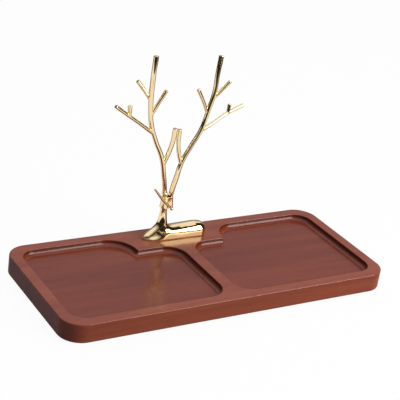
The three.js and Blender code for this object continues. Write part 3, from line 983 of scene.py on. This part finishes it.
class TRAY_OT_fasteners(bpy.types.Operator):
    """Make the two pan-head screws and their washers"""

    bl_idname = "tray.fasteners"
    bl_label = "Fasteners"

    def execute(self, context):
        sizes = context.scene.tray_fitting_sizes
        for side in ("left", "right"):
            self.washer(sizes, f"base_washer_{side}")
            self.screw(sizes, f"base_screw_{side}")
        return {"FINISHED"}

    def washer(self, sizes, node):
        """A flat disc with a round hole"""
        low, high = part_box(node)
        middle = (low + high) / 2
        radius = (high.x - low.x) / 2
        disc = cone(f"{node}_disc", radius, radius, low.z, high.z, middle.x, middle.y, ROUND_SIDES)
        bore = sizes.washer_bore
        carve(disc, cone("bore", bore, bore, low.z - MM, high.z + MM, middle.x, middle.y, BORE_SIDES))
        round_rims(disc, (low.z, high.z), sizes.washer_round, segments=3)
        smooth_faces(disc, degrees=40, weighted=True)
        place(disc, "zinc_steel", node)

    def screw(self, sizes, node):
        """A pan head with a cross recess, and a plain shank with a tapered tip"""
        low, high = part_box(node)
        middle = (low + high) / 2
        radius = (high.x - low.x) / 2
        bearing = low.z + sizes.head_height
        screw = cone(f"{node}_pan_head", radius, radius, low.z, bearing, middle.x, middle.y, ROUND_SIDES)
        round_rims(screw, (low.z,), sizes.head_round, segments=8)
        bpy.ops.object.mode_set(mode="EDIT")
        pick(screw, "faces", lambda face: face.normal.z > 0.99)
        bpy.ops.mesh.inset(thickness=radius - sizes.shank_radius)
        for rise in (high.z - bearing - sizes.tip_taper, sizes.tip_taper):
            bpy.ops.mesh.extrude_region_move(TRANSFORM_OT_translate={"value": (0, 0, rise)})
        taper = (sizes.shank_radius - sizes.tip_taper) / sizes.shank_radius
        bpy.ops.transform.resize(value=(taper, taper, 1), center_override=(middle.x, middle.y, high.z))
        bpy.ops.object.mode_set(mode="OBJECT")
        for turn in (0, 90):
            spot = (middle.x, middle.y, low.z)
            blade = fresh("blade", bpy.ops.mesh.primitive_cube_add, size=1, location=spot)
            blade.scale = (sizes.cross_length, sizes.cross_width, 2 * sizes.cross_depth)
            blade.rotation_euler.z = math.radians(turn)
            carve(screw, blade)
        smooth_faces(screw, degrees=35, weighted=True)
        place(screw, "zinc_steel", node)


# Stage


class TRAY_OT_stage(bpy.types.Operator):
    """Set the floor, the light and the camera"""

    bl_idname = "tray.stage"
    bl_label = "Stage"

    def execute(self, context):
        stage = context.scene.tray_stage
        floor = fresh("floor", bpy.ops.mesh.primitive_plane_add, size=6, location=(0, 0, 0))
        floor.data.materials.append(floor_finish())
        light_world(stage)
        softbox(
            "front_softbox", azimuth=38, elevation=26.5, distance=1.5, size=(0.92, 1.12),
            power=stage.softbox_power,
        )
        bpy.ops.object.select_all(action="DESELECT")
        bpy.ops.object.camera_add()
        camera = context.object
        camera.data.lens = stage.lens
        camera.data.clip_start = 0.01
        camera.matrix_world = camera_place(stage)
        context.scene.camera = camera
        context.scene.view_settings.view_transform = "Standard"
        return {"FINISHED"}


def heading(azimuth, elevation):
    """Unit vector to a place round the tray: azimuth 0 is the front, positive to the right"""
    return Vector((
        math.sin(azimuth) * math.cos(elevation), -math.cos(azimuth) * math.cos(elevation), math.sin(elevation)
    ))


def camera_place(stage):
    """Camera matrix from its turn, height, roll and distance"""
    back = heading(stage.azimuth, stage.elevation)
    level = Vector((math.cos(stage.azimuth), math.sin(stage.azimuth), 0))
    upright = back.cross(level)
    right = level * math.cos(stage.roll) + upright * math.sin(stage.roll)
    up = upright * math.cos(stage.roll) - level * math.sin(stage.roll)
    place_at = Vector(stage.aim) + back * stage.distance
    turn = Matrix((right, up, back)).transposed()
    return Matrix.Translation(place_at) @ turn.to_4x4()


def softbox(name, azimuth, elevation, distance, size, power):
    """An area light that faces the tray"""
    bpy.ops.object.select_all(action="DESELECT")
    aim = heading(math.radians(azimuth), math.radians(elevation))
    bpy.ops.object.light_add(type="AREA", location=aim * distance)
    lamp = bpy.context.object
    lamp.name = name
    lamp.rotation_euler = aim.to_track_quat("Z", "Y").to_euler()
    lamp.data.shape = "RECTANGLE"
    lamp.data.size, lamp.data.size_y = size
    lamp.data.energy = power
    lamp.visible_camera = False


def seen_share(tree):
    """One where a camera, mirror or glass ray looks"""
    path = add_node(tree, "ShaderNodeLightPath")
    mirrored = math_node(tree, "MAXIMUM", path.outputs["Is Glossy Ray"], path.outputs["Is Transmission Ray"])
    return math_node(tree, "MAXIMUM", path.outputs["Is Camera Ray"], mirrored)


def white_to_camera(tree, mirrored):
    """White where the camera looks, and what the castings mirror elsewhere"""
    camera = add_node(tree, "ShaderNodeLightPath").outputs["Is Camera Ray"]
    return blended(tree, camera, mirrored, WHITE)


def floor_finish():
    """White paper floor with a light shadow, mirrored dark past its front edge and behind the stand"""
    material = bpy.data.materials.new("paper_floor")
    material.use_nodes = True
    tree = material.node_tree
    tree.nodes.clear()
    seen = seen_share(tree)
    spot = add_node(tree, "ShaderNodeTexCoord").outputs["Object"]
    place_at = add_node(tree, "ShaderNodeSeparateXYZ", {"Vector": spot})
    leftward = math_node(tree, "SUBTRACT", place_at.outputs["Y"], place_at.outputs["X"])
    near_left, far_left = (reach * MM for reach in FLOOR_BOUNCE_SPAN)
    bounce = blended(
        tree, ranged(tree, leftward, near_left, far_left, 0.0, 1.0), *(grey(level) for level in FLOOR_BOUNCE)
    )
    tint = blended(tree, seen, bounce, grey(FLOOR_GREY))
    paper = add_node(tree, "ShaderNodeBsdfDiffuse", {"Color": tint})
    front_low, front_high = (reach * MM for reach in FLOOR_FRONT)
    front = ranged(tree, place_at.outputs["Y"], front_low, front_high, 1.0, 0.0)
    ahead = heading(bpy.context.scene.tray_stage.azimuth, 0.0)
    onward = vector_node(tree, "DOT_PRODUCT", {0: spot, 1: ahead}, "Value")
    behind_low, behind_high = (ahead.dot(TRUNK_FOOT) + reach * MM for reach in FLOOR_BEHIND)
    behind = ranged(tree, onward, behind_low, behind_high, 1.0, 0.0)
    mirrored = blended(tree, math_node(tree, "MAXIMUM", front, behind), ROOM_PALE, ROOM_DARK)
    shown = white_to_camera(tree, mirrored)
    glow = add_node(tree, "ShaderNodeEmission", {"Color": shown, "Strength": 1.0})
    share = math_node(tree, "MULTIPLY", seen, FLOOR_GLOW)
    mix = add_node(tree, "ShaderNodeMixShader", {0: share, 1: paper.outputs[0], 2: glow.outputs[0]})
    add_node(tree, "ShaderNodeOutputMaterial", {"Surface": mix.outputs[0]})
    return material


def zone(tree, turn, height, start, end, top, soft):
    """One inside a span of azimuth and below an elevation, all in degrees"""
    begun = ranged(tree, turn, math.radians(start - soft), math.radians(start + soft), 0.0, 1.0)
    ended = ranged(tree, turn, math.radians(end - soft), math.radians(end + soft), 1.0, 0.0)
    low, high = (math.sin(math.radians(angle)) for angle in (top - soft, top + soft))
    under = ranged(tree, height, low, high, 1.0, 0.0)
    return math_node(tree, "MULTIPLY", math_node(tree, "MULTIPLY", begun, ended), under)


def light_world(stage):
    """A pale room, dark round the softbox, low down on the camera's side and in its back left corner"""
    world = bpy.data.worlds.new("studio")
    bpy.context.scene.world = world
    world.use_nodes = True
    tree = world.node_tree
    tree.nodes.clear()
    way = add_node(tree, "ShaderNodeTexCoord").outputs["Generated"]
    part = add_node(tree, "ShaderNodeSeparateXYZ", {"Vector": way})
    forward = math_node(tree, "MULTIPLY", part.outputs["Y"], -1.0)
    turn = math_node(tree, "ARCTAN2", part.outputs["X"], forward)
    height = part.outputs["Z"]
    low, high = (math.sin(math.radians(angle)) for angle in PALE_ELEVATIONS)
    pale = ranged(tree, height, low, high, *PALE_LEVELS)
    surround = zone(tree, turn, height, *SOFTBOX_SURROUND)
    skirting = zone(tree, turn, height, *SKIRTING)
    corner = math_node(tree, "MULTIPLY", zone(tree, turn, height, *BACK_CORNER), BACK_CORNER_DARK)
    dark = math_node(tree, "MAXIMUM", math_node(tree, "MAXIMUM", surround, skirting), corner)
    cool = vector_node(tree, "SCALE", {0: ROOM_PALE[:3], "Scale": pale}, "Vector")
    mirrored = blended(tree, dark, cool, ROOM_DARK)
    shaded = blended(tree, zone(tree, turn, height, *CAMERA_SIDE), pale, ROOM_DARK)
    lit = vector_node(tree, "SCALE", {0: shaded, "Scale": stage.ambient}, "Vector")
    light = blended(tree, seen_share(tree), lit, white_to_camera(tree, mirrored))
    backdrop = add_node(tree, "ShaderNodeBackground", {"Color": light, "Strength": 1.0})
    add_node(tree, "ShaderNodeOutputWorld", {"Surface": backdrop.outputs[0]})


STEPS = ("stage", "board", "stand_base", "branches", "binding", "feet", "fasteners")


class TRAY_PT_panel(bpy.types.Panel):
    """Buttons for each step of the tray"""

    bl_idname = "TRAY_PT_panel"
    bl_label = "Jewelry Tray"
    bl_space_type = "VIEW_3D"
    bl_region_type = "UI"
    bl_category = "Tray"

    def draw(self, context):
        for step in STEPS:
            self.layout.operator(f"tray.{step}")


CLASSES = (
    TrayBoardSizes, TrayBindingSizes, TrayFittingSizes, TrayFinishes, TrayStage,
    TRAY_OT_stage, TRAY_OT_board, TRAY_OT_base, TRAY_OT_branches, TRAY_OT_binding, TRAY_OT_feet,
    TRAY_OT_fasteners, TRAY_PT_panel,
)
SETTINGS = {
    "tray_board_sizes": TrayBoardSizes,
    "tray_binding_sizes": TrayBindingSizes,
    "tray_fitting_sizes": TrayFittingSizes,
    "tray_finishes": TrayFinishes,
    "tray_stage": TrayStage,
}


def register():
    for item in CLASSES:
        bpy.utils.register_class(item)
    for name, group in SETTINGS.items():
        setattr(bpy.types.Scene, name, bpy.props.PointerProperty(type=group))


def unregister():
    for name in SETTINGS:
        delattr(bpy.types.Scene, name)
    for item in reversed(CLASSES):
        bpy.utils.unregister_class(item)


def main():
    register()
    for step in STEPS:
        getattr(bpy.ops.tray, step)()


if __name__ == "__main__":
    main()
